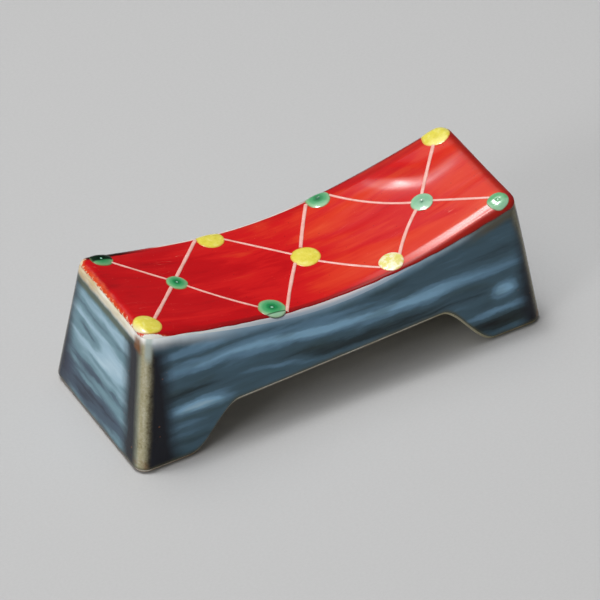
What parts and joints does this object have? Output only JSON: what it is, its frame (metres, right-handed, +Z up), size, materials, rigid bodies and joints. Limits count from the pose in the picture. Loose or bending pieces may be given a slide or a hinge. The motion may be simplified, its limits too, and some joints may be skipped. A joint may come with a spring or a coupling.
{
  "type": "chopstick rest",
  "caption": "Low glazed stoneware bridge with a saddle that holds chopstick tips, arches cut under its long sides, and red enamel with a pale diamond lattice and raised dots on top",
  "frame": {"origin": "on the table, below the middle of the rest", "axes": "X along the rest, with the end left plain white at -X, Y across it, and Z up from the table"},
  "size_m": [0.0598, 0.0234, 0.0201],
  "materials": {
    "stoneware": "bare fired clay, matt and fine-grained",
    "blue_glaze": "glossy blue-grey glaze with horizontal streaks, broken to olive brown on the edges",
    "white_glaze": "glossy off-white glaze, tinged blue at the rim",
    "red_enamel": "glossy brushed red enamel with fine specks and orange thin spots",
    "pale_enamel": "satin pinkish white brush strokes",
    "yellow_enamel": "opaque lemon yellow, satin",
    "green_enamel": "glassy translucent green with a small pit in the middle"
  },
  "bodies": {
    "root": {"clay_body": "stoneware", "blue_glaze_coat": "blue_glaze", "white_glaze_top": "white_glaze", "red_enamel_panel": "red_enamel", "lattice_line_1": "pale_enamel", "lattice_line_2": "pale_enamel", "lattice_line_3": "pale_enamel", "lattice_line_4": "pale_enamel", "lattice_line_5": "pale_enamel", "lattice_line_6": "pale_enamel", "lattice_line_7": "pale_enamel", "lattice_line_8": "pale_enamel", "lattice_line_9": "pale_enamel", "lattice_line_10": "pale_enamel", "lattice_line_11": "pale_enamel", "lattice_line_12": "pale_enamel", "yellow_dot_1": "yellow_enamel", "yellow_dot_2": "yellow_enamel", "yellow_dot_3": "yellow_enamel", "yellow_dot_4": "yellow_enamel", "yellow_dot_5": "yellow_enamel", "green_dot_1": "green_enamel", "green_dot_2": "green_enamel", "green_dot_3": "green_enamel", "green_dot_4": "green_enamel", "green_dot_5": "green_enamel", "green_dot_6": "green_enamel"}
  },
  "joints": []
}
